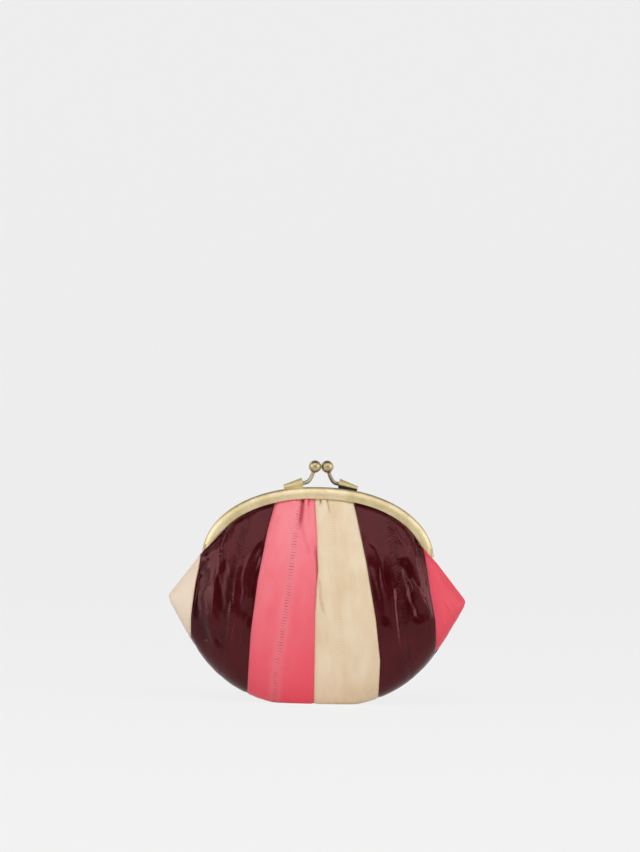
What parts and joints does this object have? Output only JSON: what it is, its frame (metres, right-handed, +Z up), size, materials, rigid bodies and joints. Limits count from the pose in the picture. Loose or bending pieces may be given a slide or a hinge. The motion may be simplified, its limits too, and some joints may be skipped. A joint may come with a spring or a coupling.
{
  "type": "coin purse",
  "caption": "Small pieced-leather coin purse on a hinged metal frame that opens wide and shuts with a two-ball kiss clasp.",
  "frame": {"origin": "on the table, under the middle of the purse", "axes": "+X across the purse to the right of who faces it, +Y from the front side to the back side, +Z up to the clasp"},
  "size_m": [0.1314, 0.031, 0.1074],
  "materials": {
    "antique_brass": "antique plated brass, satin, darker in the folds",
    "worn_brass_wire": "drawn wire, plated brass, slightly worn",
    "cream_leather": "thin glazed leather, fine wrinkles",
    "burgundy_leather": "thin glazed leather, glossy, long creases",
    "pink_leather": "thin glazed leather, fine wrinkles",
    "cotton_lining": "plain woven cotton",
    "paper_cord": "twisted kraft paper"
  },
  "bodies": {
    "pouch": {"front_left_ear_strip": "cream_leather", "front_left_outer_strip": "burgundy_leather", "front_left_inner_strip": "pink_leather", "front_right_ear_strip": "pink_leather", "front_right_outer_strip": "burgundy_leather", "front_right_inner_strip": "cream_leather", "back_left_ear_strip": "pink_leather", "back_left_outer_strip": "burgundy_leather", "back_left_inner_strip": "cream_leather", "back_right_ear_strip": "cream_leather", "back_right_outer_strip": "burgundy_leather", "back_right_inner_strip": "pink_leather", "front_lining": "cotton_lining", "back_lining": "cotton_lining"},
    "front_frame": {"front_frame_bow": "antique_brass", "front_clasp_sleeve": "antique_brass", "front_clasp_wire": "worn_brass_wire", "front_clasp_ball": "antique_brass", "front_channel_cord": "paper_cord", "left_hinge_rivet": "antique_brass", "right_hinge_rivet": "antique_brass"},
    "back_frame": {"back_frame_bow": "antique_brass", "back_clasp_sleeve": "antique_brass", "back_clasp_wire": "worn_brass_wire", "back_clasp_ball": "antique_brass", "back_channel_cord": "paper_cord"}
  },
  "joints": [
    {"name": "front_frame_open", "type": "hinge", "parent": "pouch", "child": "front_frame", "pos_m": [0, 0, 0.0627], "axis": [1, 0, 0], "range_deg": [0, 45], "deforming": ["front_left_ear_strip", "front_left_outer_strip", "front_left_inner_strip", "front_right_ear_strip", "front_right_outer_strip", "front_right_inner_strip", "front_lining"]},
    {"name": "back_frame_open", "type": "hinge", "parent": "pouch", "child": "back_frame", "pos_m": [0, 0, 0.0627], "axis": [-1, 0, 0], "range_deg": [0, 45], "deforming": ["back_left_ear_strip", "back_left_outer_strip", "back_left_inner_strip", "back_right_ear_strip", "back_right_outer_strip", "back_right_inner_strip", "back_lining"]}
  ],
  "couplings": [
    {"joint": "back_frame_open", "follows": "front_frame_open", "ratio": 1}
  ]
}
